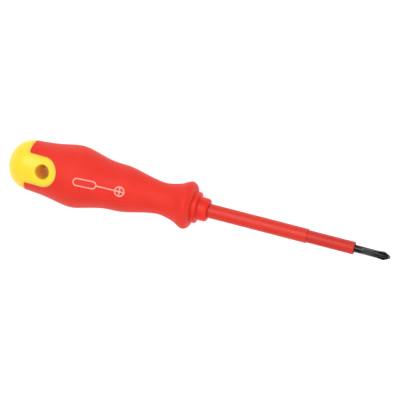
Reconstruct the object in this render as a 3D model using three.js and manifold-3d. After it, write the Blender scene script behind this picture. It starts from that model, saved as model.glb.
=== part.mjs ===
// Insulated PH0 x 75 screwdriver with a fixed blade. The blade carries two insulating layers, and the
// handle is moulded round it in three shots: a hidden core, a hard body and a soft grip.
// Millimetres. The origin is the centre of the flat at the blade's tip, +X points out of the tip along
// the tool's axis, and +Z points out of the upper mouth of the hanging hole.
import * as THREE from "three";
import { mergeVertices } from "three/addons/utils/BufferGeometryUtils.js";
import Module from "manifold-3d";

const wasm = await Module();
wasm.setup();

// Driving dimensions.
const BLADE_LENGTH = 75; // nose of the handle to the tip
const HANDLE_LENGTH = 84.6; // nose of the handle to the butt
const GAP = 0.3; // clearance between pieces that are moulded round each other
const SLEEVE_FIT = 0.1; // clearance round the blade and between the layers on it

const ROD_R = 1.5; // blade
const HEAD_R = 1.7; // the forged point is a little wider than the rod
const HEAD_LENGTH = 3.2; // from the tip to where the head starts to narrow to the rod
const HEAD_TAPER = 2; // length over which it narrows
const TIP_FLAT_R = 0.5;
const POINT_HALF_ANGLE = THREE.MathUtils.degToRad(26.5);
const FLUTE_HALF_ANGLE = THREE.MathUtils.degToRad(46);
const FLUTE_RISE = THREE.MathUtils.degToRad(5.75);
const FLUTE_ROOT_R = 0.42; // distance of a flute's root from the axis at the tip
const EAR_SPAN_R = 2.9; // half the width over the ears that key the blade in the handle
const EAR_THICKNESS = 1.4;

const EXPOSED_TIP = 14.6; // bare steel in front of the insulation
const INNER_SLEEVE_R = 2.55;
const OUTER_SLEEVE_R = 2.9;
const OUTER_SLEEVE_FRONT = 34; // distance of the outer layer's front edge from the tip

const NOSE_R = 4.75; // the two steps of the nose collar
const COLLAR_R = 6.35;
const COLLAR_DEPTH = 4.2; // where the second step starts, back from the nose
const SPIGOT_R = 4.2;

const GRIP_FRONT = 6.3; // where the soft grip starts, back from the nose
const GRIP_REAR = 75.2; // where it ends, beside the eye
const GRIP_WALL = 1.5;
const BUTT_R = 10.3;
const DOME_LENGTH = 9.4;

const HOLE_R = 3; // hanging hole, through the butt along Z
const HOLE_ROUNDING = 0.6;
const HOLE_DEPTH = 67.8; // its axis, back from the nose
const EYE_R = 6.2; // the hard eye round the hole, which the grip leaves bare
const EYE_CORNER_R = 1;

const MARK_DEPTH = 43.6; // centre of the printed mark, back from the nose
const MARK_LENGTH = 21;
const MARK_HEIGHT = 4.3;
const MARK_STROKE = 0.55;
const MARK_CLEARANCE = 0.03;
const MARK_THICKNESS = 0.1;

const ROUND_SIDES = 36; // facets round the handle
const SLIM_SIDES = 28; // facets round the sleeves and the blade

// Depths inside the handle, back from the nose.
const SPIGOT_REAR = 12;
const OUTER_SLEEVE_REAR = 14;
const INNER_SLEEVE_REAR = 20;
const BLADE_REAR = 56;
const EAR_FRONT = 42;
const EAR_REAR = 52;
const BODY_FRONT = 8.8;
const CORE_FRONT = SPIGOT_REAR + 2 * GAP;
const CORE_SLIM_REAR = 27;
const CORE_THICK_FRONT = 34;
const CORE_FINS = 46; // middle of the core's fins
const CORE_REAR = 60;

// The hidden core: slim under the waist, thick round the ears.
const CORE_SLIM_R = 3.65;
const CORE_THICK_R = 5;
const FIN_REACH = 6.6; // distance of a fin's edge from the axis
const FIN_LENGTH = 18;
const FIN_THICKNESS = 1.6;

const behindNose = (depth) => -BLADE_LENGTH - depth;

// The handle's outline from the guard back to the start of the dome: [depth behind the nose, radius].
const SKIN_STATIONS = [
  [GRIP_FRONT, 6.7],
  [6.45, 7.45],
  [6.65, 8.05],
  [7.0, 8.7],
  [7.5, 9.2],
  [8.1, 9.55],
  [8.8, 9.75],
  [9.9, 9.5],
  [11.0, 8.95],
  [12.4, 8.15],
  [14.4, 7.45],
  [17.0, 6.82],
  [19.6, 6.53],
  [22.7, 6.8],
  [27.0, 7.65],
  [31.4, 8.7],
  [35.4, 9.42],
  [39.5, 9.62],
  [43.3, 10.0],
  [47.4, 10.92],
  [51.4, 11.98],
  [54.0, 12.55],
  [56.4, 12.7],
  [59.4, 12.4],
  [64.0, 11.52],
  [69.0, 10.78],
  [HANDLE_LENGTH - DOME_LENGTH, BUTT_R],
];
const DOME_STEPS = 9;

// ---------- geometry helpers ----------

// A solid of revolution about the X axis. Its [x, radius] points run from the rear to the front, and
// a closed loop of them runs forwards on its outside and back through its bore.
function revolve(points, sides) {
  const profile = points.map(([x, r]) => new THREE.Vector2(r, x));
  return new THREE.LatheGeometry(profile, sides).rotateZ(-Math.PI / 2);
}

// An upright block over a plan in X and Y, centred on height 0 or standing on it.
function block(plan, height, base = -height / 2) {
  const extruded = new THREE.ExtrudeGeometry(plan, {
    depth: height,
    bevelEnabled: false,
    curveSegments: 14,
  });
  return solidOf(extruded.translate(0, 0, base));
}

function solidOf(geometry) {
  const bare = geometry.clone();
  bare.deleteAttribute("normal");
  bare.deleteAttribute("uv");
  const merged = mergeVertices(bare, 1e-4);
  return new wasm.Manifold(
    new wasm.Mesh({
      numProp: 3,
      vertProperties: merged.attributes.position.array,
      triVerts: new Uint32Array(merged.index.array),
    }),
  );
}

function geometryOf(solid) {
  const { numProp, numVert, vertProperties, triVerts } = solid.getMesh();
  const corners = new Float32Array(numVert * 3);
  for (let i = 0; i < numVert; i++) {
    corners.set(vertProperties.subarray(i * numProp, i * numProp + 3), i * 3);
  }
  return new THREE.BufferGeometry()
    .setAttribute("position", new THREE.BufferAttribute(corners, 3))
    .setIndex(new THREE.BufferAttribute(triVerts, 1));
}

// ---------- the blade ----------

// The flattened ears near the blade's rear end. Growing them makes their room in the core.
function earSolid(grow) {
  const front = behindNose(EAR_FRONT) + grow;
  const rear = behindNose(EAR_REAR) - grow;
  const slope = 2; // length over which an ear rises from the rod
  const span = EAR_SPAN_R + grow;
  const plan = new THREE.Shape()
    .moveTo(rear, -ROD_R)
    .lineTo(rear + slope, -span)
    .lineTo(front - slope, -span)
    .lineTo(front, -ROD_R)
    .lineTo(front, ROD_R)
    .lineTo(front - slope, span)
    .lineTo(rear + slope, span)
    .lineTo(rear, ROD_R);
  return block(plan, EAR_THICKNESS + 2 * grow);
}

// One V-shaped flute of the cross point. Its root climbs from near the axis out to the rod's surface.
function fluteSolid(turn) {
  const height = 3; // of the cutter, which starts in front of the tip by the overshoot
  const length = 13;
  const overshoot = 0.5;
  const half = height * Math.tan(FLUTE_HALF_ANGLE);
  const section = new THREE.Shape().moveTo(0, 0).lineTo(half, height).lineTo(-half, height);
  const cutter = new THREE.ExtrudeGeometry(section, { depth: length, bevelEnabled: false });
  return solidOf(
    cutter
      .rotateY(-Math.PI / 2)
      .translate(overshoot, 0, 0)
      .rotateZ(-FLUTE_RISE)
      .translate(0, FLUTE_ROOT_R, 0)
      .rotateX(turn),
  );
}

function blade() {
  const pointLength = (HEAD_R - TIP_FLAT_R) / Math.tan(POINT_HALF_ANGLE);
  const rear = behindNose(BLADE_REAR);
  const chamfer = 0.3;
  const rod = revolve(
    [
      [rear, 0],
      [rear, ROD_R - chamfer],
      [rear + chamfer, ROD_R],
      [-HEAD_LENGTH - HEAD_TAPER, ROD_R],
      [-HEAD_LENGTH, HEAD_R],
      [-pointLength, HEAD_R],
      [0, TIP_FLAT_R],
      [0, 0],
    ],
    SLIM_SIDES,
  );
  let solid = solidOf(rod).add(earSolid(0));
  const flutes = 4;
  for (let i = 0; i < flutes; i++) {
    solid = solid.subtract(fluteSolid(((i + 0.5) / flutes) * 2 * Math.PI));
  }
  return geometryOf(solid);
}

// ---------- the insulation on the blade ----------

function innerSleeve() {
  const bore = ROD_R + SLEEVE_FIT;
  const front = -EXPOSED_TIP;
  const rear = behindNose(INNER_SLEEVE_REAR);
  const chamfer = 0.25;
  return revolve(
    [
      [rear, bore],
      [rear, INNER_SLEEVE_R],
      [front - chamfer, INNER_SLEEVE_R],
      [front, INNER_SLEEVE_R - chamfer],
      [front, bore + chamfer],
      [front - 2 * chamfer, bore],
      [rear, bore],
    ],
    SLIM_SIDES,
  );
}

function outerSleeve() {
  const bore = INNER_SLEEVE_R + SLEEVE_FIT;
  const front = -OUTER_SLEEVE_FRONT;
  const rear = behindNose(OUTER_SLEEVE_REAR);
  const chamfer = 0.12;
  return revolve(
    [
      [rear, bore],
      [rear, OUTER_SLEEVE_R],
      [front - chamfer, OUTER_SLEEVE_R],
      [front, OUTER_SLEEVE_R - chamfer],
      [front, bore],
      [rear, bore],
    ],
    SLIM_SIDES,
  );
}

// ---------- the handle ----------

// The stepped collar at the nose, with a spigot that reaches back under the grip.
function noseCollar() {
  const bore = OUTER_SLEEVE_R + SLEEVE_FIT;
  const rear = behindNose(SPIGOT_REAR);
  const flangeBack = behindNose(GRIP_FRONT - GAP);
  const step = behindNose(COLLAR_DEPTH);
  const nose = behindNose(0);
  const stepRounding = 0.35;
  const mouthFlare = 0.15;
  const draft = 0.2; // how much the nose narrows towards its front edge
  const noseRounding = 0.8;
  const noseEdge = [];
  const edgeSteps = 3;
  for (let i = 0; i <= edgeSteps; i++) {
    const angle = ((i / edgeSteps) * Math.PI) / 2;
    noseEdge.push([
      nose - noseRounding * (1 - Math.sin(angle)),
      NOSE_R - draft - noseRounding * (1 - Math.cos(angle)),
    ]);
  }
  return revolve(
    [
      [rear, bore],
      [rear, SPIGOT_R],
      [flangeBack, SPIGOT_R],
      [flangeBack, COLLAR_R],
      [step - stepRounding, COLLAR_R],
      [step, COLLAR_R - stepRounding],
      [step, NOSE_R],
      ...noseEdge,
      [nose, bore + mouthFlare],
      [nose - 2 * mouthFlare, bore],
      [rear, bore],
    ],
    ROUND_SIDES,
  );
}

// The handle's outline drawn in by an inset, as [x, radius] points from the butt to the guard.
function skinOutline(inset) {
  const domeStart = HANDLE_LENGTH - DOME_LENGTH;
  const points = [[behindNose(HANDLE_LENGTH - inset), 0]];
  for (let i = DOME_STEPS - 1; i > 0; i--) {
    const angle = ((i / DOME_STEPS) * Math.PI) / 2;
    const depth = domeStart + (DOME_LENGTH - inset) * Math.sin(angle);
    points.push([behindNose(depth), (BUTT_R - inset) * Math.cos(angle)]);
  }
  const stations = SKIN_STATIONS.map(([depth, r]) => [behindNose(depth), r - inset]);
  return [...points, ...stations.reverse()];
}

// The whole handle behind the nose collar as one solid with a flat front.
function skinSolid(inset) {
  return solidOf(revolve([...skinOutline(inset), [behindNose(GRIP_FRONT), 0]], ROUND_SIDES));
}

// The hard body where the grip covers it. Growing it makes the hollow of the grip.
function underGripSolid(grow) {
  const front = behindNose(BODY_FRONT - grow);
  const rim = 7.4;
  const rimLength = 0.8; // the outline stops this far behind the body's front face
  const covered = skinOutline(GRIP_WALL - grow).filter(([x]) => x < front - rimLength);
  return solidOf(revolve([...covered, [front, rim + grow], [front, 0]], ROUND_SIDES));
}

// A block along Z over everything that the grip leaves bare: the butt, and the eye round the hole.
function bareZone(grow) {
  const beyond = 5; // how far the block reaches past the handle
  const wide = BUTT_R + beyond;
  const rear = behindNose(HANDLE_LENGTH + beyond);
  const edge = behindNose(GRIP_REAR) + grow;
  const centre = behindNose(HOLE_DEPTH);
  const half = EYE_R + grow;
  const corner = EYE_CORNER_R - grow;
  const quarter = Math.PI / 2;
  const plan = new THREE.Shape()
    .moveTo(rear, -wide)
    .lineTo(edge, -wide)
    .lineTo(edge, -half - corner)
    .absarc(edge + corner, -half - corner, corner, 2 * quarter, quarter, true)
    .absarc(centre, 0, half, -quarter, quarter, false)
    .absarc(edge + corner, half + corner, corner, -quarter, -2 * quarter, true)
    .lineTo(edge, wide)
    .lineTo(rear, wide);
  return block(plan, 2 * wide);
}

// The hanging hole as a spool along Z, flared where it meets the skin so that its mouths are rounded.
function holeSpool() {
  const skinHeight = 10.4; // half the handle's thickness at the lower side of the hole's mouths
  const flareStart = skinHeight - HOLE_ROUNDING;
  const top = BUTT_R + 4; // well clear of the skin
  const flareSteps = 4;
  const flareAngle = THREE.MathUtils.degToRad(60);
  const half = [];
  for (let i = 0; i <= flareSteps; i++) {
    const angle = (i / flareSteps) * flareAngle;
    half.push([
      HOLE_R + HOLE_ROUNDING * (1 - Math.cos(angle)),
      flareStart + HOLE_ROUNDING * Math.sin(angle),
    ]);
  }
  const [lipRadius, lipHeight] = half[flareSteps];
  half.push([lipRadius + (top - lipHeight) * Math.tan(flareAngle), top], [0, top]);
  const mirrored = half.map(([r, z]) => [r, -z]).reverse();
  const profile = [...mirrored, ...half].map(([r, z]) => new THREE.Vector2(r, z));
  const spool = new THREE.LatheGeometry(profile, ROUND_SIDES);
  return solidOf(spool.rotateX(Math.PI / 2).translate(behindNose(HOLE_DEPTH), 0, 0));
}

// The outside of the hidden core: a barrel with four fins.
function coreBlank(grow) {
  const front = behindNose(CORE_FRONT - grow);
  const rear = behindNose(CORE_REAR + grow);
  const slim = CORE_SLIM_R + grow;
  const thick = CORE_THICK_R + grow;
  const chamfer = 1;
  const barrel = revolve(
    [
      [rear, 0],
      [rear, thick - chamfer],
      [rear + chamfer, thick],
      [behindNose(CORE_THICK_FRONT), thick],
      [behindNose(CORE_SLIM_REAR), slim],
      [front, slim],
      [front, 0],
    ],
    SLIM_SIDES,
  );
  const span = 2 * (FIN_REACH + grow);
  const thickness = FIN_THICKNESS + 2 * grow;
  const length = FIN_LENGTH + 2 * grow;
  const middle = behindNose(CORE_FINS);
  const level = new THREE.BoxGeometry(length, span, thickness).translate(middle, 0, 0);
  const upright = new THREE.BoxGeometry(length, thickness, span).translate(middle, 0, 0);
  return solidOf(barrel).add(solidOf(level)).add(solidOf(upright));
}

function innerCore() {
  const front = behindNose(CORE_FRONT) + 1; // the cutter starts in front of the core
  const outerEnd = behindNose(OUTER_SLEEVE_REAR + GAP);
  const innerEnd = behindNose(INNER_SLEEVE_REAR + GAP);
  const bladeEnd = behindNose(BLADE_REAR + GAP);
  const hollow = revolve(
    [
      [bladeEnd, 0],
      [bladeEnd, ROD_R + GAP],
      [innerEnd, ROD_R + GAP],
      [innerEnd, INNER_SLEEVE_R + GAP],
      [outerEnd, INNER_SLEEVE_R + GAP],
      [outerEnd, OUTER_SLEEVE_R + GAP],
      [front, OUTER_SLEEVE_R + GAP],
      [front, 0],
    ],
    SLIM_SIDES,
  );
  return geometryOf(coreBlank(0).subtract(solidOf(hollow)).subtract(earSolid(GAP)));
}

// The room that the collar's spigot takes up inside the body and the grip.
function spigotRoom() {
  const rear = behindNose(CORE_FRONT);
  const front = behindNose(GRIP_FRONT) + 1;
  const reach = SPIGOT_R + GAP;
  return solidOf(
    revolve(
      [
        [rear, 0],
        [rear, reach],
        [front, reach],
        [front, 0],
      ],
      ROUND_SIDES,
    ),
  );
}

function handleBody() {
  const bare = skinSolid(0).intersect(bareZone(0));
  return geometryOf(
    underGripSolid(0)
      .add(bare)
      .subtract(holeSpool())
      .subtract(spigotRoom())
      .subtract(coreBlank(GAP)),
  );
}

function grip() {
  return geometryOf(
    skinSolid(0)
      .subtract(bareZone(GAP))
      .subtract(underGripSolid(GAP))
      .subtract(spigotRoom()),
  );
}

// ---------- the printed mark ----------

// A rectangle with rounded ends, used as a shape or as a hole in one.
function roundedBar(path, left, right, halfHeight) {
  const quarter = Math.PI / 2;
  return path
    .moveTo(left + halfHeight, -halfHeight)
    .absarc(right - halfHeight, 0, halfHeight, -quarter, quarter, false)
    .absarc(left + halfHeight, 0, halfHeight, quarter, 3 * quarter, false);
}

function rectangle(left, right, bottom, top) {
  return new THREE.Shape()
    .moveTo(left, bottom)
    .lineTo(right, bottom)
    .lineTo(right, top)
    .lineTo(left, top);
}

// A pictogram in thin ink that lies on the grip: a cross recess in a ring, joined to a small tool.
function sizeMark() {
  const centre = behindNose(MARK_DEPTH);
  const left = centre - MARK_LENGTH / 2;
  const right = centre + MARK_LENGTH / 2;
  const ringR = MARK_HEIGHT / 2;
  const ringCentre = right - ringR;
  const stroke = MARK_STROKE / 2;
  const handleEnd = left + MARK_LENGTH * 0.45;
  const handleR = ringR * 0.8;

  const ring = new THREE.Shape().absarc(ringCentre, 0, ringR, 0, 2 * Math.PI, false);
  ring.holes.push(
    new THREE.Path().absarc(ringCentre, 0, ringR - MARK_STROKE, 0, 2 * Math.PI, true),
  );
  const tool = roundedBar(new THREE.Shape(), left, handleEnd, handleR);
  tool.holes.push(
    roundedBar(new THREE.Path(), left + MARK_STROKE, handleEnd - MARK_STROKE, handleR - MARK_STROKE),
  );
  const shank = rectangle(handleEnd - stroke, ringCentre + ringR - stroke, -stroke, stroke);
  const upright = rectangle(ringCentre - stroke, ringCentre + stroke, -ringR + stroke, ringR - stroke);

  const height = 20; // from the axis to well above the skin
  const pictogram = [tool, shank, upright].reduce(
    (joined, plan) => joined.add(block(plan, height, 0)),
    block(ring, height, 0),
  );
  const inkTop = skinSolid(-MARK_CLEARANCE - MARK_THICKNESS);
  const inkBottom = skinSolid(-MARK_CLEARANCE);
  return geometryOf(pictogram.intersect(inkTop.subtract(inkBottom)));
}

// ---------- the assembly ----------

const screwdriver = new THREE.Group();

function addPart(name, geometry, colour, roughness, metalness) {
  const material = new THREE.MeshStandardMaterial({ color: colour, roughness, metalness });
  const mesh = new THREE.Mesh(geometry, material);
  mesh.name = name;
  screwdriver.add(mesh);
}

addPart("blade", blade(), 0x2e2c2d, 0.45, 0.8);
addPart("inner_sleeve", innerSleeve(), 0xdf4038, 0.4, 0);
addPart("outer_sleeve", outerSleeve(), 0xe1443a, 0.4, 0);
addPart("nose_collar", noseCollar(), 0xf5412f, 0.5, 0);
addPart("inner_core", innerCore(), 0x8d1a14, 0.5, 0);
addPart("handle_body", handleBody(), 0xfde038, 0.35, 0);
addPart("grip", grip(), 0xf74336, 0.6, 0);
addPart("size_mark", sizeMark(), 0xf6b3a8, 0.7, 0);

export default screwdriver;
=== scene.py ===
"""Looks of the insulated screwdriver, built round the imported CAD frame.

The tool lies along X with its tip at the origin and its handle in negative X. The hanging hole runs
along Z. Lengths are in millimetres unless a comment says metres, and MM turns them into metres, which
the frame is in.
"""

import math

import bmesh
import bpy
import numpy as np
from mathutils import Matrix, Vector
from mathutils.geometry import delaunay_2d_cdt


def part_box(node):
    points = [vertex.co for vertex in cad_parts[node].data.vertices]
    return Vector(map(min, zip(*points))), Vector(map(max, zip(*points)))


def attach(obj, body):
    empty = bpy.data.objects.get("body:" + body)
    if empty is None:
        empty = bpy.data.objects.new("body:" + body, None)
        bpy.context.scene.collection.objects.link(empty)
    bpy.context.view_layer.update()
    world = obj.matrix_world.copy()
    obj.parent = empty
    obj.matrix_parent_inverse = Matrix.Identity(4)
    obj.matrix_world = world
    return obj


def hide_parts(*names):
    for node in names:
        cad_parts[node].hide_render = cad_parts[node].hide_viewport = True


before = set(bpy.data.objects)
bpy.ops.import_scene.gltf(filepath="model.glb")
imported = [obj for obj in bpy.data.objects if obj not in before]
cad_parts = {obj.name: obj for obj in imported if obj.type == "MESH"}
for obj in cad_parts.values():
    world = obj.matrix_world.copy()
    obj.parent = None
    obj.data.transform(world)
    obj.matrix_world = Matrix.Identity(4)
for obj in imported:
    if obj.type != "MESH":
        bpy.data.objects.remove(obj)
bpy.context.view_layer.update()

MM = 0.001

# ---------- sizes ----------

CLEARANCE = 0.3  # what the CAD solids keep between them
SLEEVE_FIT = 0.1  # clearance round the blade and between the layers on it

# Read from the frame, in millimetres.
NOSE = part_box("nose_collar")[1].x / MM
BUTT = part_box("handle_body")[0].x / MM
GRIP_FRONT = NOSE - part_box("grip")[1].x / MM
GRIP_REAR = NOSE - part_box("grip")[0].x / MM + CLEARANCE
SLEEVE_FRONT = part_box("inner_sleeve")[1].x / MM
SLEEVE_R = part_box("inner_sleeve")[1].z / MM
SLEEVE_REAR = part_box("inner_sleeve")[0].x / MM
LAYER_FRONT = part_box("outer_sleeve")[1].x / MM
LAYER_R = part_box("outer_sleeve")[1].z / MM
LAYER_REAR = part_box("outer_sleeve")[0].x / MM
COLLAR_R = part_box("nose_collar")[1].z / MM
SPIGOT_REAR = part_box("nose_collar")[0].x / MM
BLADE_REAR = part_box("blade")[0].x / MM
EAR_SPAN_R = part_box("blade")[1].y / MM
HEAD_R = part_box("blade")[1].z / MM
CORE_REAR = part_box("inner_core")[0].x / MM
HANDLE_LENGTH = NOSE - BUTT

# The same details as in the CAD source.
ROD_R = 1.5
HEAD_LENGTH = 3.2  # from the tip to where the head starts to narrow to the rod
HEAD_TAPER = 2  # length over which it narrows
TIP_FLAT_R = 0.5
POINT_ANGLE = math.radians(26.5)
FLUTE_ANGLE = math.radians(46)
FLUTE_RISE = math.radians(5.75)
FLUTE_ROOT_R = 0.42
EAR_THICKNESS = 1.4
EAR_FRONT = 42
EAR_REAR = 52
EAR_SLOPE = 2
NOSE_R = 4.75
STEP_DEPTH = 4.2
SPIGOT_R = 4.2
GRIP_WALL = 1.5
BODY_FRONT = 8.8
BODY_RIM = 7.4
ROOM_SLIM_R = 3.95  # the room for the hidden core: by the spigot, round its fins and at its end
ROOM_SLIM_REAR = 27
ROOM_FIN_FRONT = 36
ROOM_FIN_REAR = 56
ROOM_FIN_R = 6.95
ROOM_END_R = 5.4
BUTT_R = 10.3
DOME_LENGTH = 9.4
HOLE_R = 3.0
HOLE_ROUNDING = 0.6
HOLE_DEPTH = 67.8
EYE_R = 6.2
EYE_CORNER_R = 1.0
MARK_DEPTH = 43.6
MARK_LENGTH = 21.0
MARK_HEIGHT = 4.3
MARK_STROKE = 0.55
MARK_RELIEF = 0.03  # how far the ink stands over the grip, and how far it reaches under the skin

# The handle's outline: [depth behind the nose, radius].
SKIN_STATIONS = [
    (GRIP_FRONT, 6.7),
    (6.45, 7.45),
    (6.65, 8.05),
    (7.0, 8.7),
    (7.5, 9.2),
    (8.1, 9.55),
    (8.8, 9.75),
    (9.9, 9.5),
    (11.0, 8.95),
    (12.4, 8.15),
    (14.4, 7.45),
    (17.0, 6.82),
    (19.6, 6.53),
    (22.7, 6.8),
    (27.0, 7.65),
    (31.4, 8.7),
    (35.4, 9.42),
    (39.5, 9.62),
    (43.3, 10.0),
    (47.4, 10.92),
    (51.4, 11.98),
    (54.0, 12.55),
    (56.4, 12.7),
    (59.4, 12.4),
    (64.0, 11.52),
    (69.0, 10.78),
    (HANDLE_LENGTH - DOME_LENGTH, BUTT_R),
]

WAIST = min(SKIN_STATIONS, key=lambda station: station[1])
SWELL = max(SKIN_STATIONS, key=lambda station: station[1])
GUARD = max((s for s in SKIN_STATIONS if s[0] < WAIST[0]), key=lambda station: station[1])

# Details that only the visible surface has.
SEAM = 0.03  # half the visible gap between the grip and the eye
GRIP_EDGE_R = 0.2  # how round the grip's edge is at the seam
EYE_EDGE_R = 0.15
GRIP_TINT_REACH = 0.35  # how far from the seam each plastic is tinted orange with painted seam shade
EYE_TINT_REACH = 1.1
PATCH_FRONT = 60.0  # depths between which the eye's outline cuts the skin
PATCH_REAR = 78.0
WALL_START = BODY_FRONT + 1.2  # from where the hidden wall under the grip follows the skin
OUTLINE_POINTS = 1600  # in the handle's dense outline
AROUND = 180  # points round the handle
RING_SPACING = 0.3  # between the rings of visible skin
HIDDEN_RING_SPACING = 1.5
PATCH_SPACING = 0.45  # between the points of a visible patch
HIDDEN_SPACING = 1.0
MARK_SPACING = 0.3  # between the points of the printed mark
WELD = 0.0005  # points closer than this become one
FLUTED = 13.0  # how far back from the tip the blade's rows of points are close together
FLUTE_SHADE_DEPTH = 0.35  # flutes at least this deep keep all their black oxide


# ---------- the handle's skin ----------


def cubic_spline(knots, values):
    """Second derivatives of the natural cubic spline through values at knots."""
    n = len(knots)
    steps = np.diff(knots)
    matrix = np.eye(n)
    right = np.zeros(n)
    for i in range(1, n - 1):
        matrix[i, i - 1] = steps[i - 1]
        matrix[i, i] = 2 * (steps[i - 1] + steps[i])
        matrix[i, i + 1] = steps[i]
        slope_after = (values[i + 1] - values[i]) / steps[i]
        slope_before = (values[i] - values[i - 1]) / steps[i - 1]
        right[i] = 6 * (slope_after - slope_before)
    return np.linalg.solve(matrix, right)


def spline_at(knots, values, bends, at):
    """The spline's values at some places, from its second derivatives at the knots."""
    i = np.clip(np.searchsorted(knots, at) - 1, 0, len(knots) - 2)
    step = knots[i + 1] - knots[i]
    a = (knots[i + 1] - at) / step
    b = 1 - a
    bend = (a**3 - a) * bends[i] + (b**3 - b) * bends[i + 1]
    return a * values[i] + b * values[i + 1] + bend * step**2 / 6


def skin_curve():
    """Dense points of the outline from the guard to the butt's end: arrays of depths and radii.

    The stations run on round the dome and past its end, so that the spline is round there.
    """
    stations = list(SKIN_STATIONS)
    dome_start = HANDLE_LENGTH - DOME_LENGTH
    dome_steps = 6
    for i in range(1, 2 * dome_steps):
        angle = i / dome_steps * math.pi / 2
        stations.append((dome_start + DOME_LENGTH * math.sin(angle), BUTT_R * math.cos(angle)))
    depth, radius = np.array(stations).T
    knots = np.concatenate([[0], np.cumsum(np.hypot(np.diff(depth), np.diff(radius)))])
    fine = np.linspace(0, knots[len(SKIN_STATIONS) - 1 + dome_steps], OUTLINE_POINTS)
    depths = spline_at(knots, depth, cubic_spline(knots, depth), fine)
    radii = spline_at(knots, radius, cubic_spline(knots, radius), fine)
    return depths, np.clip(radii, 0, SWELL[1])


CURVE_DEPTH, CURVE_R = skin_curve()


def skin_r(depth):
    """Radius of the handle's skin at a depth behind the nose."""
    return np.interp(depth, CURVE_DEPTH, CURVE_R)


# ---------- mesh building ----------


class Shell:
    """Points in millimetres in the row frame, and faces over them, that become one closed mesh.

    Each point has a tone between 0 and 1, which the piece's material reads: how near a seam or how
    deep in a bore or a flute it lies.
    """

    def __init__(self):
        self.points = []
        self.faces = []
        self.tones = []
        self.side = 1  # -1 mirrors what is added to the underside

    def add(self, points, tone=0.0):
        """Adds a row of points with one tone, or one tone each, and returns their numbers."""
        first = len(self.points)
        self.points += [(x, y, z * self.side) for x, y, z in points]
        self.tones += list(np.broadcast_to(np.asarray(tone, float), (len(points),)))
        return list(range(first, first + len(points)))

    def bridge(self, a, b, closed=True):
        """Quads between two rows of points."""
        count = len(a)
        last = count if closed else count - 1
        for i in range(last):
            j = (i + 1) % count
            self.faces.append((a[i], a[j], b[j], b[i]))

    def fan(self, ring, apex):
        """Triangles from a ring of points to one point."""
        for i, p in enumerate(ring):
            self.faces.append((p, ring[(i + 1) % len(ring)], apex))

    def rings(self, profile, around=AROUND, closed=False):
        """Rings round the X axis through (depth, radius) points, bridged in order.

        A point on the axis is kept as a row that repeats one number, and gets a fan.
        """
        angles = ring_angles(around)
        made = []
        for depth, radius in profile:
            if radius == 0:
                apex = self.add([(NOSE - depth, 0, 0)])[0]
                made.append([apex] * around)
                continue
            y = radius * np.sin(angles)
            z = radius * np.cos(angles)
            x = np.full(around, NOSE - depth)
            made.append(self.add(np.stack([x, y, z], -1)))
        for a, b in zip(made, made[1:]):
            if a[0] == a[1]:
                self.fan(b, a[0])
            elif b[0] == b[1]:
                self.fan(a, b[0])
            else:
                self.bridge(a, b)
        if closed:
            self.bridge(made[-1], made[0])

    def build(self, name):
        """The shell as a closed, smooth object with its normals out, in the scene."""
        mesh = bpy.data.meshes.new(name)
        mesh.from_pydata([Vector(p) * MM for p in self.points], [], self.faces)
        tone = mesh.attributes.new("tone", "FLOAT", "POINT")
        tone.data.foreach_set("value", np.array(self.tones, np.float32))
        bm = bmesh.new()
        bm.from_mesh(mesh)
        bmesh.ops.remove_doubles(bm, verts=bm.verts, dist=WELD * MM)
        bmesh.ops.recalc_face_normals(bm, faces=bm.faces)
        open_edges = sum(not e.is_manifold for e in bm.edges)
        if open_edges:
            print(name, "has", open_edges, "open edges")
        if bm.calc_volume() < 0:
            bmesh.ops.reverse_faces(bm, faces=bm.faces)
        bm.to_mesh(mesh)
        bm.free()
        mesh.shade_smooth()
        piece = bpy.data.objects.new(name, mesh)
        bpy.context.scene.collection.objects.link(piece)
        return piece


def ring_angles(around):
    """Angles from +Z towards +Y, starting at -Y so that the points on the Y axis are among them."""
    return -math.pi / 2 + np.arange(around) * 2 * math.pi / around


# ---------- patches where the eye's outline cuts the skin ----------

UNROLL_R = 10.5  # turns an angle round the skin into a length along it


def on_skin(depth, angle, inset=0.0):
    """Points under the skin, drawn in towards the axis by an inset."""
    radius = skin_r(depth) - inset
    return np.stack([NOSE - depth, radius * np.sin(angle), radius * np.cos(angle)], -1)


def arc(centre, radius, start, end, count):
    """Points along an arc in a plane."""
    turn = np.linspace(start, end, count)
    return np.stack([centre[0] + radius * np.cos(turn), centre[1] + radius * np.sin(turn)], -1)


def eye_outline(grow):
    """Depths and angles along the edge of the bare zone on the upper half, from -Y to +Y."""
    side_points = 24
    bend_points = 7
    flank_points = 19
    tip_points = 41
    edge = GRIP_REAR - grow
    half = EYE_R + grow
    corner = EYE_CORNER_R - grow
    side_y = half + corner
    corner_angle = -math.asin(side_y / skin_r(edge))
    side_angles = np.linspace(-math.pi / 2, corner_angle, side_points)
    side = np.stack([np.full(side_points, edge), side_angles], -1)
    bend = arc((edge - corner, -side_y), corner, 0, math.pi / 2, bend_points)
    flank_depths = np.linspace(edge - corner, HOLE_DEPTH, flank_points)
    flank = np.stack([flank_depths, np.full(flank_points, -half)], -1)
    tip = arc((HOLE_DEPTH, 0), half, -math.pi / 2, -math.pi, tip_points)
    plan = np.concatenate([bend[1:], flank[1:], tip[1:]])
    angles = np.arcsin(plan[:, 1] / skin_r(plan[:, 0]))
    lower = np.concatenate([side, np.stack([plan[:, 0], angles], -1)])
    upper = lower[:-1][::-1] * [1, -1]
    return np.concatenate([lower, upper])


def hole_outline(grow, count=64):
    """Depths and angles round the hanging hole's mouth."""
    plan = arc((HOLE_DEPTH, 0), HOLE_R + grow, 0, 2 * math.pi, count + 1)[:-1]
    return np.stack([plan[:, 0], np.arcsin(plan[:, 1] / skin_r(plan[:, 0]))], -1)


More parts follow.
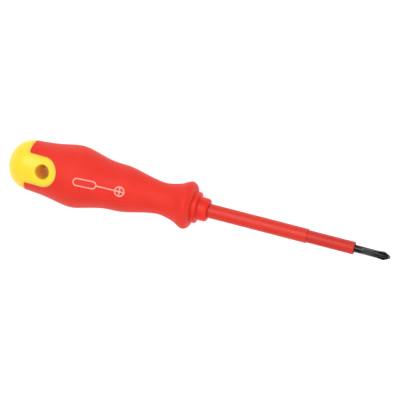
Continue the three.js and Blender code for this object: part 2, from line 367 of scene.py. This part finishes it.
def rounded_rows(radius, steps):
    """(distance from the edge, drop below the skin) down a rounded edge, from its foot to its top."""
    rows = []
    for i in range(steps + 1):
        turn = i / steps * math.pi / 2
        rows.append((radius * (1 - math.cos(turn)), radius * (1 - math.sin(turn))))
    return rows


def inside(points, loop):
    """Which points lie inside a closed loop."""
    x, y = points[:, 0, None], points[:, 1, None]
    a, b = loop, np.roll(loop, -1, 0)
    crosses = (a[:, 1] > y) != (b[:, 1] > y)
    rise = np.where(b[:, 1] == a[:, 1], 1, b[:, 1] - a[:, 1])
    at = a[:, 0] + (y - a[:, 1]) / rise * (b[:, 0] - a[:, 0])
    return (crosses & (x < at)).sum(1) % 2 == 1


def triangles(loops, spacing, covered):
    """Points and triangles that fill flat loops, with evenly spread points between them."""
    every = np.concatenate(loops)
    low, high = every.min(0), every.max(0)
    rows = []
    for i, y in enumerate(np.arange(low[1], high[1], spacing * math.sqrt(3) / 2)):
        x = np.arange(low[0] + (i % 2) * spacing / 2, high[0], spacing)
        rows.append(np.stack([x, np.full(len(x), y)], -1))
    spread = np.concatenate(rows)
    spread = spread[covered(spread)]
    nearest = 0.62 * spacing  # points closer to a loop than this are left out
    clear = [np.hypot(*(every - p).T).min() > nearest for p in spread]
    points = np.concatenate([every, spread[clear]])
    edges = []
    first = 0
    for loop in loops:
        count = len(loop)
        edges += [(first + i, first + (i + 1) % count) for i in range(count)]
        first += count
    flat = [Vector(p) for p in points]
    keep_every_face = 0
    merged_within = 1e-5
    corners, _, faces, sources, _, _ = delaunay_2d_cdt(flat, edges, [], keep_every_face, merged_within)
    exact = np.array([points[s[0]] if s else np.array(c) for c, s in zip(corners, sources)])
    faces = np.array(faces)
    return exact, faces[covered(exact[faces].mean(1))]


def fill(shell, loops, spacing, place):
    """Covers the area inside the first loop of (depth, angle) points and outside the others.

    place turns arrays of depths and angles into points.
    """
    flat = [np.array(loop) * [1, UNROLL_R] for loop in loops]

    def covered(points):
        result = inside(points, flat[0])
        for hole in flat[1:]:
            result &= ~inside(points, hole)
        return result

    points, faces = triangles(flat, spacing, covered)
    first = shell.add(place(points[:, 0], points[:, 1] / UNROLL_R))[0]
    shell.faces += [tuple(int(i) + first for i in face) for face in faces]


def around_patch(outline, ring_depth, spacing):
    """Closes an eye outline into a loop along the sides and the ring at a depth."""
    edge_depth = outline[0][0]
    steps = max(2, round(abs(edge_depth - ring_depth) / spacing))
    depths = np.linspace(edge_depth, ring_depth, steps + 1)
    far_side = np.stack([depths[1:], np.full(steps, math.pi / 2)], -1)
    ring = ring_angles(AROUND)[: AROUND // 2 + 1]
    ring_points = np.stack([np.full(len(ring), ring_depth), ring], -1)[::-1]
    near_side = far_side[:-1][::-1] * [1, -1]
    return np.concatenate([outline, far_side, ring_points[1:], near_side])


def edge_rows(shell, radius, tint_reach, grow_of, floor_inset):
    """The wall along the eye's outline, its rounded edge and the tinted rows beside it.

    grow_of turns a distance from the seam into how far the eye's outline is grown. The wall's foot
    lies under the skin by floor_inset. Returns the last row's outline.
    """
    foot = eye_outline(grow_of(0))
    previous = shell.add(on_skin(foot[:, 0], foot[:, 1], floor_inset), 1.0)
    level_rows = [(distance, 0) for distance in np.linspace(radius, tint_reach, 5)[1:]]
    for distance, drop in rounded_rows(radius, 6) + level_rows:
        outline = eye_outline(grow_of(distance))
        tone = max(0, 1 - distance / tint_reach)
        row = shell.add(on_skin(outline[:, 0], outline[:, 1], drop), tone)
        shell.bridge(previous, row, closed=False)
        previous = row
    return outline


# ---------- the pieces ----------


def curve_profile(start, end, spacing, inset=0.0):
    """(depth, radius) points along the skin between two depths."""
    picked = (CURVE_DEPTH >= min(start, end)) & (CURVE_DEPTH <= max(start, end))
    depth, radius = CURVE_DEPTH[picked], CURVE_R[picked]
    length = np.concatenate([[0], np.cumsum(np.hypot(np.diff(depth), np.diff(radius)))])
    count = max(2, round(length[-1] / spacing))
    at = np.linspace(0, length[-1], count + 1)
    points = list(zip(np.interp(at, length, depth), np.interp(at, length, radius) - inset))
    return points if start < end else points[::-1]


def make_grip():
    """The soft overmould: a bored tube from the guard to the eye, with a wall of even thickness."""
    shell = Shell()
    wall = GRIP_WALL - CLEARANCE
    bore = SPIGOT_R + CLEARANCE
    front_r = SKIN_STATIONS[0][1]
    face = [  # the front face, and a slight rounding where it meets the skin
        (GRIP_FRONT, bore),
        (GRIP_FRONT, front_r - 1),
        (GRIP_FRONT, front_r - 0.12),
        (GRIP_FRONT, front_r - 0.05),
        (GRIP_FRONT + 0.03, front_r - 0.01),
    ]
    outer = curve_profile(GRIP_FRONT + 0.06, PATCH_FRONT, RING_SPACING)
    outer[-1] = (PATCH_FRONT, float(skin_r(PATCH_FRONT)))
    inner = curve_profile(PATCH_FRONT, WALL_START, HIDDEN_RING_SPACING, wall)
    inner[0] = (PATCH_FRONT, float(skin_r(PATCH_FRONT)) - wall)
    hollow_end = BODY_FRONT - CLEARANCE
    hollow_front = [(hollow_end, BODY_RIM + CLEARANCE), (hollow_end, bore)]
    shell.rings(inner + hollow_front + face + outer)
    for side in (1, -1):
        shell.side = side
        outline = edge_rows(shell, GRIP_EDGE_R, GRIP_TINT_REACH, lambda d: SEAM + d, wall)
        fill(shell, [around_patch(outline, PATCH_FRONT, PATCH_SPACING)], PATCH_SPACING, on_skin)
        hidden = around_patch(eye_outline(SEAM), PATCH_FRONT, PATCH_SPACING)
        fill(shell, [hidden], HIDDEN_SPACING, lambda depth, angle: on_skin(depth, angle, wall))
    return shell.build("grip_skin")


def make_body():
    """The hard body: its covered front with the core's room, the bare eye and the domed butt."""
    shell = Shell()
    outer = curve_profile(PATCH_FRONT, WALL_START, HIDDEN_RING_SPACING, GRIP_WALL)
    outer[0] = (PATCH_FRONT, float(skin_r(PATCH_FRONT)) - GRIP_WALL)
    cavity_end = NOSE - CORE_REAR + CLEARANCE
    spigot_end = NOSE - SPIGOT_REAR + CLEARANCE
    hollow = [
        (BODY_FRONT, BODY_RIM),
        (BODY_FRONT, SPIGOT_R + CLEARANCE),
        (spigot_end, SPIGOT_R + CLEARANCE),
        (spigot_end, ROOM_SLIM_R),
        (ROOM_SLIM_REAR, ROOM_SLIM_R),
        (ROOM_FIN_FRONT, ROOM_FIN_R),
        (ROOM_FIN_REAR, ROOM_FIN_R),
        (cavity_end, ROOM_END_R),
        (cavity_end, 0),
    ]
    shell.rings(outer + hollow)
    dome = curve_profile(PATCH_REAR, HANDLE_LENGTH, PATCH_SPACING)
    dome[0] = (PATCH_REAR, float(skin_r(PATCH_REAR)))
    dome[-1] = (HANDLE_LENGTH, 0)
    shell.rings(dome)
    for side in (1, -1):
        shell.side = side
        outline = edge_rows(shell, EYE_EDGE_R, EYE_TINT_REACH, lambda d: -SEAM - d, GRIP_WALL)
        rim = lip_rows(shell)
        fill(shell, [around_patch(outline, PATCH_REAR, PATCH_SPACING), rim], PATCH_SPACING, on_skin)
        hidden = around_patch(eye_outline(-SEAM), PATCH_FRONT, PATCH_SPACING)
        fill(shell, [hidden], HIDDEN_SPACING, lambda depth, angle: on_skin(depth, angle, GRIP_WALL))
    return shell.build("handle_eye_and_butt")


def lip_rows(shell):
    """Half of the hanging hole: its bore from the middle up, and its rounded mouth.

    The tone is 1 in the middle of the bore, falls towards the mouth and is 0 on the skin. Returns
    the outline where the mouth meets the skin.
    """
    mouth = on_skin(*hole_outline(0).T)
    bore_top = mouth[:, 2] - HOLE_ROUNDING
    mouth_tone = 0.2
    previous = None
    for share in np.linspace(0, 1, 9)[:-1]:
        tone = 1 - (1 - mouth_tone) * share**2
        row = shell.add(np.stack([mouth[:, 0], mouth[:, 1], bore_top * share], -1), tone)
        if previous:
            shell.bridge(previous, row)
        previous = row
    for distance, drop in rounded_rows(HOLE_ROUNDING, 8):
        rim = hole_outline(distance)
        points = on_skin(rim[:, 0], rim[:, 1]) - [0, 0, drop]
        row = shell.add(points, mouth_tone * max(0, 1 - 2 * distance / HOLE_ROUNDING))
        shell.bridge(previous, row)
        previous = row
    return rim


def rounded(corners, steps=5):
    """A (depth, radius) profile from corners of (depth, radius, rounding), as a closed loop."""
    profile = []
    count = len(corners)
    for i, (depth, radius, rounding) in enumerate(corners):
        here = np.array([depth, radius])
        if not rounding:
            profile.append((depth, radius))
            continue
        before = np.array(corners[i - 1][:2]) - here
        after = np.array(corners[(i + 1) % count][:2]) - here
        before = before / np.linalg.norm(before)
        after = after / np.linalg.norm(after)
        for step in range(steps + 1):
            t = step / steps
            weights = (1 - t) ** 2, t**2
            profile.append(tuple(here + rounding * (weights[0] * before + weights[1] * after)))
    return profile


def make_collar():
    """The stepped collar with its spigot. It lies close against the grip's front face."""
    bore = LAYER_R + SLEEVE_FIT
    rear = NOSE - SPIGOT_REAR
    flange_back = GRIP_FRONT - 0.04
    shell = Shell()
    profile = rounded(
        [
            (rear, bore, 0),
            (rear, SPIGOT_R, 0.3),
            (flange_back, SPIGOT_R, 0),
            (flange_back, COLLAR_R, 0.08),
            (STEP_DEPTH, COLLAR_R, 0.55),
            (STEP_DEPTH, NOSE_R, 0.3),
            (1.3, NOSE_R - 0.06, 0),
            (0, NOSE_R - 0.25, 0.85),
            (0, bore, 0.25),
            (2, bore, 0),
        ]
    )
    shell.rings(profile, 144, closed=True)
    return shell.build("nose_rings")


def make_sleeve(name, front, rear, radius, bore, mouth, rounding):
    """A tube of insulation whose bore widens to a mouth at its front end."""
    shell = Shell()
    rear_depth = NOSE - rear
    front_depth = NOSE - front
    along = [(float(depth), radius, 0) for depth in np.linspace(rear_depth - 1, front_depth + 1, 24)]
    corners = [
        (rear_depth, bore, 0),
        (rear_depth, radius, 0.2),
        *along,
        (front_depth, radius, rounding),
        (front_depth, mouth, min(rounding, 0.2)),
        (front_depth + 1.5, bore, 0),
    ]
    shell.rings(rounded(corners), 96, closed=True)
    return shell.build(name)


def soft_least(a, b, sharpness=14):
    """The lesser of two radii, blended where they meet so that the edge between them is rounded."""
    return (a**-sharpness + b**-sharpness) ** (-1 / sharpness)


def blade_section(x, angles):
    """The blade's radius at a place along it for each angle round it, and how deep in a flute that is."""
    point_length = (HEAD_R - TIP_FLAT_R) / math.tan(POINT_ANGLE)
    rod = np.interp(
        x,
        [-HEAD_LENGTH - HEAD_TAPER, -HEAD_LENGTH, -point_length, 0],
        [ROD_R, HEAD_R, HEAD_R, TIP_FLAT_R],
    )
    # Each flute is a V with a rounded root, which lies further out the further it is from the tip.
    # A line out from the axis leaves the steel where it meets the V's side, at root / across.
    root = FLUTE_ROOT_R - x * math.tan(FLUTE_RISE)
    from_flute = (angles - math.pi / 4) % (math.pi / 2)
    from_flute = np.minimum(from_flute, math.pi / 2 - from_flute)
    root_rounding = 0.004
    spread = np.sqrt(np.sin(from_flute) ** 2 + root_rounding) / math.tan(FLUTE_ANGLE)
    across = np.maximum(np.cos(from_flute) - spread, 0.05)
    radius = soft_least(np.full(len(angles), rod), root / across)
    flute = np.clip((rod - radius) / FLUTE_SHADE_DEPTH, 0, 1)
    ear_ends = [EAR_FRONT, EAR_FRONT + EAR_SLOPE, EAR_REAR - EAR_SLOPE, EAR_REAR]
    span = np.interp(NOSE - x, ear_ends, [0, 1, 1, 0])
    if span:
        reach = ROD_R + (EAR_SPAN_R - ROD_R) * span
        half_thick = EAR_THICKNESS / 2
        ear = np.minimum(
            reach / np.maximum(np.abs(np.sin(angles)), 0.1),
            half_thick / np.maximum(np.abs(np.cos(angles)), 0.01),
        )
        radius = np.maximum(radius, ear)
    return radius, flute


def make_blade():
    """The rod with its cross point and ears, as rings whose radius changes with the angle."""
    around = 160
    angles = ring_angles(around)
    close = 1.2  # the rows get closer and closer over this length at the tip
    spacing = 0.09
    stations = np.concatenate(
        [
            -np.linspace(0, 1, 14) ** 1.5 * close,
            np.arange(-1.3, -FLUTED, -spacing),
            np.linspace(-FLUTED, NOSE - EAR_FRONT + 1, 24),
            np.linspace(NOSE - EAR_FRONT + 0.5, NOSE - EAR_REAR - 0.5, 16),
            [BLADE_REAR],
        ]
    )
    shell = Shell()
    tip = shell.add([(0, 0, 0)])[0]
    previous = None
    for x in stations:
        radius, flute = blade_section(x, angles)
        points = np.stack(
            [np.full(around, x), radius * np.sin(angles), radius * np.cos(angles)], -1
        )
        row = shell.add(points, flute)
        if previous:
            shell.bridge(previous, row)
        else:
            shell.fan(row, tip)
        previous = row
    rear = shell.add([(BLADE_REAR, 0, 0)])[0]
    shell.fan(previous, rear)
    return shell.build("cross_point_blade")


def bar_outline(left, right, half_height, rounding):
    """Corners of a level bar with rounded ends."""
    quarter = math.pi / 2
    ends = []
    for x, y, start in (
        (right - rounding, half_height - rounding, 0),
        (left + rounding, half_height - rounding, quarter),
        (left + rounding, rounding - half_height, 2 * quarter),
        (right - rounding, rounding - half_height, 3 * quarter),
    ):
        ends.append(arc((x, y), rounding, start, start + quarter, 6))
    return np.concatenate(ends)


def finely(loop):
    """A loop with extra points so that none are further apart than MARK_SPACING."""
    result = []
    for a, b in zip(loop, np.roll(loop, -1, 0)):
        count = max(1, math.ceil(np.hypot(*(b - a)) / MARK_SPACING))
        result += [a + (b - a) * i / count for i in range(count)]
    return np.array(result)


def circle(centre, radius, count=48):
    """Points round a circle in a plane, with the first one not repeated."""
    return arc(centre, radius, 0, 2 * math.pi, count + 1)[:-1]


def make_mark():
    """The pictogram: a small tool whose blade ends in a ring with a cross in it."""
    ring_r = MARK_HEIGHT / 2
    stroke = MARK_STROKE / 2
    left, right = -MARK_LENGTH / 2, MARK_LENGTH / 2
    ring = (right - ring_r, 0)
    tool_end = left + 0.45 * MARK_LENGTH
    tool_r = 0.8 * ring_r
    tool_hole_r = tool_r - MARK_STROKE
    nearly_round = 0.98
    sharp = 0.05
    tool_hole = bar_outline(
        left + MARK_STROKE, tool_end - MARK_STROKE, tool_hole_r, tool_hole_r * nearly_round
    )
    filled = [
        (circle(ring, ring_r), circle(ring, ring_r - MARK_STROKE)),
        (bar_outline(left, tool_end, tool_r, tool_r * nearly_round), tool_hole),
        (bar_outline(tool_end - stroke, right - stroke, stroke, sharp), None),
        (bar_outline(stroke - ring_r, ring_r - stroke, stroke, sharp)[:, ::-1] + ring, None),
    ]
    loops = [finely(loop) for pair in filled for loop in pair if loop is not None]

    def covered(points):
        result = np.zeros(len(points), bool)
        for outer, hole in filled:
            part = inside(points, outer)
            if hole is not None:
                part &= ~inside(points, hole)
            result |= part
        return result

    points, faces = triangles(loops, MARK_SPACING, covered)
    depth = MARK_DEPTH - points[:, 0]
    angle = np.arcsin(points[:, 1] / skin_r(depth))
    shell = Shell()
    top = shell.add(on_skin(depth, angle, -MARK_RELIEF))[0]
    under = shell.add(on_skin(depth, angle, MARK_RELIEF))[0]
    used = {}
    for face in faces:
        a, b, c = (int(i) for i in face)
        shell.faces.append((top + a, top + b, top + c))
        shell.faces.append((under + c, under + b, under + a))
        for edge in ((a, b), (b, c), (c, a)):
            key = tuple(sorted(edge))
            used[key] = None if key in used else edge
    for edge in used.values():
        if edge:
            a, b = edge
            shell.faces.append((top + a, top + b, under + b, under + a))
    return shell.build("printed_mark")


grip = make_grip()
body = make_body()
collar = make_collar()
thin_bore = ROD_R + SLEEVE_FIT
thin_mouth = 2.05
thin_layer = make_sleeve(
    "thin_insulation", SLEEVE_FRONT, SLEEVE_REAR, SLEEVE_R, thin_bore, thin_mouth, rounding=0.3
)
thick_bore = SLEEVE_R + SLEEVE_FIT
thick_layer = make_sleeve(
    "thick_insulation", LAYER_FRONT, LAYER_REAR, LAYER_R, thick_bore, thick_bore, rounding=0.12
)
blade = make_blade()
mark = make_mark()
for piece, node, slot in (
    (grip, "grip", "grip_rubber"),
    (body, "handle_body", "body_plastic"),
    (collar, "nose_collar", "collar_plastic"),
    (thin_layer, "inner_sleeve", "thin_insulation"),
    (thick_layer, "outer_sleeve", "thick_insulation"),
    (blade, "blade", "blade_steel"),
    (mark, "size_mark", "mark_ink"),
):
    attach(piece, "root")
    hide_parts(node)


# ---------- materials ----------


class Surface:
    """A node material on a Principled shader, with helpers for its procedural detail."""

    def __init__(self, name, roughness, specular=0.5):
        self.material = bpy.data.materials.new(name)
        self.material.use_nodes = True
        self.tree = self.material.node_tree
        self.shader = self.tree.nodes["Principled BSDF"]
        self.shader.inputs["Roughness"].default_value = roughness
        self.shader.inputs["Specular IOR Level"].default_value = specular
        self.place = self.node("ShaderNodeTexCoord").outputs["Object"]

    def node(self, kind, inputs=None, **settings):
        """A new node, whose inputs are linked to sockets or set to values."""
        made = self.tree.nodes.new(kind)
        for key, value in settings.items():
            setattr(made, key, value)
        for key, value in (inputs or {}).items():
            if isinstance(value, bpy.types.NodeSocket):
                self.tree.links.new(value, made.inputs[key])
            else:
                made.inputs[key].default_value = value
        return made

    def noise(self, size, detail=3.0, stretch=(1, 1, 1), roughness=0.5):
        """Noise between 0 and 1 whose features are about a size in millimetres."""
        scaled = self.node("ShaderNodeMapping", {"Vector": self.place, "Scale": stretch})
        made = self.node(
            "ShaderNodeTexNoise",
            {
                "Vector": scaled.outputs["Vector"],
                "Scale": 1 / (size * MM),
                "Detail": detail,
                "Roughness": roughness,
            },
        )
        return made.outputs["Fac"]

    def span(self, value, low, high, to_low=0.0, to_high=1.0):
        """A value mapped from one range to another and held inside it."""
        made = self.node(
            "ShaderNodeMapRange",
            {"Value": value, "From Min": low, "From Max": high, "To Min": to_low, "To Max": to_high},
        )
        return made.outputs["Result"]

    def mix(self, amount, first, second):
        """A colour that goes from the first to the second as the amount goes from 0 to 1."""
        made = self.node("ShaderNodeMix", data_type="RGBA")
        for key, value in (("Factor", amount), ("A", first), ("B", second)):
            socket = next(
                s for s in made.inputs if s.name == key and s.type == ("VALUE" if key == "Factor" else "RGBA")
            )
            if isinstance(value, bpy.types.NodeSocket):
                self.tree.links.new(value, socket)
            else:
                socket.default_value = value if key == "Factor" else (*value, 1)
        return next(s for s in made.outputs if s.type == "RGBA")

    def times(self, first, second):
        return self.node("ShaderNodeMath", {0: first, 1: second}, operation="MULTIPLY").outputs[0]

    def plus(self, first, second):
        return self.node("ShaderNodeMath", {0: first, 1: second}, operation="ADD").outputs[0]

    def along(self):
        """How far along the tool a point lies, in metres."""
        return self.node("ShaderNodeSeparateXYZ", {"Vector": self.place}).outputs["X"]

    def painted_corner_shade(self, base, depths):
        """Painted shade in the corners round some depths behind the nose, which fades out within 0.6 mm."""
        x = self.along()
        for depth in depths:
            off = self.plus(x, (depth - NOSE) * MM)
            away = self.node("ShaderNodeMath", {0: off}, operation="ABSOLUTE").outputs[0]
            # Darker red painted in as shade close to each depth.
            base = self.mix(self.span(away, 0.1 * MM, 0.6 * MM, 0.3, 0), base, (0.48, 0.01, 0.005))
        return base

    def tone(self):
        """The tone of the mesh's points."""
        return self.node("ShaderNodeAttribute", attribute_name="tone").outputs["Fac"]

    def colour(self, socket):
        self.tree.links.new(socket, self.shader.inputs["Base Color"])

    def rough(self, socket):
        self.tree.links.new(socket, self.shader.inputs["Roughness"])

    def bump(self, height, depth, strength=1.0):
        """Relief from a height between 0 and 1 that stands for a depth in millimetres."""
        before = self.shader.inputs["Normal"].links
        inputs = {"Height": height, "Distance": depth * MM, "Strength": strength}
        if before:
            inputs["Normal"] = before[0].from_socket
        made = self.node("ShaderNodeBump", inputs)
        self.tree.links.new(made.outputs["Normal"], self.shader.inputs["Normal"])

    def glow_through(self, weight, colour, reach):
        """Light that spreads under the surface, up to a reach in millimetres."""
        self.shader.inputs["Subsurface Weight"].default_value = weight
        self.shader.inputs["Subsurface Radius"].default_value = colour
        self.shader.inputs["Subsurface Scale"].default_value = reach * MM

    def dress(self, piece):
        piece.data.materials.clear()
        piece.data.materials.append(self.material)


def rubber_surface():
    """Soft red overmould: matt, finely grained, with faint mottling, and painted seam shade in orange at the
    yellow seam.
    """
    s = Surface("soft_red_rubber", 0.5, 0.2)
    mottle = s.noise(9, 4)
    fine = s.noise(0.5, 2)
    base = s.mix(s.span(mottle, 0.35, 0.65), (0.64, 0.023, 0.012), (0.68, 0.028, 0.015))
    base = s.mix(s.span(fine, 0.3, 0.8, 0, 0.25), base, (0.58, 0.02, 0.011))
    # Painted seam shade: more orange towards the yellow seam.
    base = s.mix(s.span(s.tone(), 0.3, 1, 0, 0.6), base, (0.6, 0.07, 0.01))
    s.colour(base)
    s.rough(s.span(s.plus(s.times(mottle, 0.6), s.times(fine, 0.4)), 0.3, 0.7, 0.46, 0.62))
    s.bump(s.noise(0.28, 3), 0.018)
    s.bump(s.noise(4, 2), 0.03)
    s.glow_through(0.35, (1, 0.2, 0.1), 1.2)
    return s


def yellow_surface():
    """Hard yellow plastic: half gloss, with flow marks and scuffs, a painted glow of bounced light that makes
    the hole warmer, and painted seam shade in orange by the red.
    """
    s = Surface("hard_yellow_plastic", 0.35, 0.35)
    flow = s.noise(7, 3, (0.5, 1, 1))
    base = s.mix(s.span(flow, 0.35, 0.65), (0.85, 0.56, 0.02), (0.89, 0.6, 0.03))
    # Painted light: a brighter orange in the bore for light bouncing in the hole, and painted seam shade by
    # the red.
    base = s.mix(s.span(s.tone(), 0, 1, 0, 0.9), base, (1.0, 0.58, 0.06))
    s.colour(base)
    scuffs = s.span(s.noise(1.2, 5, (0.2, 1, 1)), 0.55, 0.7)
    gloss = s.span(s.plus(s.times(flow, 0.5), s.times(scuffs, 0.5)), 0.2, 0.9, 0.3, 0.45)
    s.rough(s.plus(gloss, s.times(s.tone(), 0.3)))
    s.bump(s.noise(0.6, 3), 0.006)
    s.bump(s.noise(6, 2), 0.03)
    s.glow_through(0.8, (1, 0.6, 0.2), 7)
    return s


def collar_surface():
    """Hard moulded red plastic: satin, slightly uneven, with painted shade in its corners."""
    s = Surface("moulded_red_plastic", 0.42, 0.22)
    mottle = s.noise(4, 3)
    base = s.mix(s.span(mottle, 0.35, 0.65), (0.65, 0.018, 0.008), (0.69, 0.022, 0.01))
    # Painted shade in the corners at the nose and at the step.
    s.colour(s.painted_corner_shade(base, [0, STEP_DEPTH]))
    s.rough(s.span(mottle, 0.3, 0.7, 0.38, 0.5))
    s.bump(s.noise(0.35, 3), 0.008)
    s.bump(s.noise(2.5, 2, (1, 0.4, 0.4)), 0.02)
    s.glow_through(0.35, (1, 0.2, 0.1), 1.2)
    return s


def sleeve_surface(name, dull, bright):
    """Smooth insulation on the blade: half gloss, with faint lengthwise drag lines."""
    s = Surface(name, 0.4, 0.3)
    along = s.noise(1.1, 3, (0.12, 1, 1))
    patches = s.noise(6, 3)
    drawn = s.plus(s.times(along, 0.5), s.times(patches, 0.5))
    # Painted shade at the nose, where the insulation leaves the collar.
    s.colour(s.painted_corner_shade(s.mix(s.span(drawn, 0.35, 0.65), dull, bright), [0]))
    s.rough(s.span(patches, 0.3, 0.7, 0.36, 0.46))
    s.bump(along, 0.01)
    s.bump(s.noise(3, 2), 0.03)
    return s


def steel_surface():
    """Black-oxide steel: streaks along the blade, black flutes, and paler steel along the flutes' edges and
    at the tip, partly rubbed wear and partly a painted highlight.
    """
    s = Surface("black_oxide_steel", 0.4, 0.3)
    s.shader.inputs["Metallic"].default_value = 0.75
    black = (0.005, 0.0045, 0.005)
    flute_black = (0.003, 0.0028, 0.003)
    # Paler steel for rubbed wear and painted highlights.
    rubbed = (0.3, 0.285, 0.28)
    rubbed_and_highlit_tip = (0.3, 0.29, 0.29)
    streaks = s.noise(0.35, 4, (0.06, 1, 1))
    patches = s.noise(1.5, 4)
    base = s.mix(s.span(streaks, 0.45, 0.6), black, (0.06, 0.057, 0.058))
    base = s.mix(s.span(patches, 0.6, 0.75, 0, 0.35), base, (0.11, 0.104, 0.104))
    along = s.along()
    in_flute = s.tone()
    base = s.mix(s.span(along, -9 * MM, -5 * MM, 0, 0.85), base, black)
    base = s.mix(in_flute, base, flute_black)
    # The oxide is rubbed off along the flutes' edges and at the very tip, and the paler steel there is also a
    # painted highlight.
    edge = s.times(s.span(in_flute, 0.01, 0.08), s.span(in_flute, 0.12, 0.4, 1, 0))
    base = s.mix(s.times(edge, s.span(patches, 0.3, 0.7, 0.3, 1)), base, rubbed)
    # Painted highlight and wear at the very tip.
    point = s.span(along, -0.9 * MM, -0.3 * MM)
    base = s.mix(s.times(point, 0.4), base, rubbed_and_highlit_tip)
    s.colour(base)
    s.rough(s.span(streaks, 0.3, 0.7, 0.26, 0.42))
    s.bump(streaks, 0.025)
    s.bump(s.noise(0.2, 2), 0.006)
    return s


def ink_surface():
    """Pale printing ink, thin enough in spots for the red to show through."""
    s = Surface("pale_ink", 0.55, 0.3)
    thin = s.span(s.noise(0.35, 3), 0.5, 0.72)
    patchy = s.span(s.noise(2, 3), 0.35, 0.65, 0, 0.35)
    base = s.mix(patchy, (0.76, 0.34, 0.28), (0.76, 0.25, 0.2))
    s.colour(s.mix(s.times(thin, 0.6), base, (0.72, 0.08, 0.05)))
    s.rough(s.span(thin, 0, 1, 0.5, 0.6))
    s.bump(s.noise(0.3, 3), 0.008)
    return s


def core_surface():
    """Plain dark red plastic for the hidden core."""
    s = Surface("core_plastic", 0.5)
    mottle = s.noise(5, 3)
    s.colour(s.mix(s.span(mottle, 0.35, 0.65), (0.28, 0.018, 0.01), (0.34, 0.024, 0.014)))
    s.rough(s.span(mottle, 0.3, 0.7, 0.45, 0.6))
    s.bump(s.noise(0.5, 2), 0.02)
    return s


rubber_surface().dress(grip)
yellow_surface().dress(body)
collar_surface().dress(collar)
sleeve_surface("thin_red_insulation", (0.46, 0.014, 0.006), (0.52, 0.018, 0.009)).dress(thin_layer)
sleeve_surface("thick_red_insulation", (0.54, 0.018, 0.008), (0.59, 0.023, 0.011)).dress(thick_layer)
steel_surface().dress(blade)
ink_surface().dress(mark)
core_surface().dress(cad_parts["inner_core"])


# ---------- floor, light and camera ----------

FLOOR_SIZE = 6.0  # metres
FLOOR_GAP = 0.02
FLOOR_GLOW = 0.66  # the floor is a light table, which keeps the tool's shadow faint


def make_floor():
    """The floor. The tool lies on its swell and its guard, so the floor leans along the tool's axis."""
    rise = (SWELL[1] - GUARD[1]) / (SWELL[0] - GUARD[0])
    bpy.ops.mesh.primitive_plane_add(size=FLOOR_SIZE)
    floor = bpy.context.object
    floor.name = "floor"
    lean = math.atan(rise)
    under_swell = Vector((NOSE - SWELL[0], 0, -SWELL[1] / math.cos(lean) - FLOOR_GAP)) * MM
    floor.rotation_euler = (0, -lean, 0)
    floor.location = under_swell
    s = Surface("pale_floor", 0.9, 0.1)
    shade = s.noise(60, 3)
    s.colour(s.mix(s.span(shade, 0.35, 0.65), (0.5, 0.5, 0.5), (0.52, 0.52, 0.52)))
    s.rough(s.span(shade, 0.3, 0.7, 0.85, 0.95))
    s.shader.inputs["Emission Color"].default_value = (1, 1, 1, 1)
    s.shader.inputs["Emission Strength"].default_value = FLOOR_GLOW
    s.dress(floor)


def make_light(name, place, size, watts):
    """A square soft box that faces the handle's nose. Its place and size are in metres."""
    light = bpy.data.lights.new(name, "AREA")
    light.shape = "SQUARE"
    light.size = size
    light.energy = watts
    holder = bpy.data.objects.new(name, light)
    holder.location = place
    target = Vector((NOSE * MM, 0, 0))
    holder.rotation_euler = (target - Vector(place)).to_track_quat("-Z", "Y").to_euler()
    bpy.context.scene.collection.objects.link(holder)


def make_world(brightness):
    """Even white light from all sides."""
    world = bpy.data.worlds.new("studio")
    world.use_nodes = True
    background = world.node_tree.nodes["Background"]
    background.inputs["Color"].default_value = (1, 1, 1, 1)
    background.inputs["Strength"].default_value = brightness
    bpy.context.scene.world = world


VIEW_TILT = math.radians(11.5)  # how far the tip leans towards the camera
VIEW_SIDE = math.radians(10)  # how far the camera stands towards +Y
VIEW_ROLL = math.radians(12.46)
VIEW_DISTANCE = 930
VIEW_LENS = 210.0
VIEW_RIGHT = -3.48  # the middle of the picture, from the nose of the handle
VIEW_UP = 4.22


def make_camera():
    """A long lens that looks down on the tool. VIEW_DISTANCE is from the nose of the handle."""
    back = Vector(
        (
            math.sin(VIEW_TILT),
            math.cos(VIEW_TILT) * math.sin(VIEW_SIDE),
            math.cos(VIEW_TILT) * math.cos(VIEW_SIDE),
        )
    )
    level = Vector((0, 1, 0)).cross(back).normalized()
    upright = back.cross(level)
    right = level * math.cos(VIEW_ROLL) + upright * math.sin(VIEW_ROLL)
    up = upright * math.cos(VIEW_ROLL) - level * math.sin(VIEW_ROLL)
    place = Vector((NOSE, 0, 0)) + back * VIEW_DISTANCE + right * VIEW_RIGHT + up * VIEW_UP
    data = bpy.data.cameras.new("camera")
    data.lens = VIEW_LENS
    data.sensor_width = 36
    data.clip_start = 0.05  # metres
    data.clip_end = 20
    camera = bpy.data.objects.new("camera", data)
    turn = Matrix((right, up, back)).transposed()
    camera.matrix_world = Matrix.Translation(place * MM) @ turn.to_4x4()
    bpy.context.scene.collection.objects.link(camera)
    bpy.context.scene.camera = camera


make_floor()
make_light("key", (-0.35, 0.4, 1.1), 0.9, 10)
make_light("fill", (0.5, -0.5, 0.9), 0.8, 3.9)
make_world(0.68)
make_camera()
bpy.context.scene.view_settings.view_transform = "Standard"
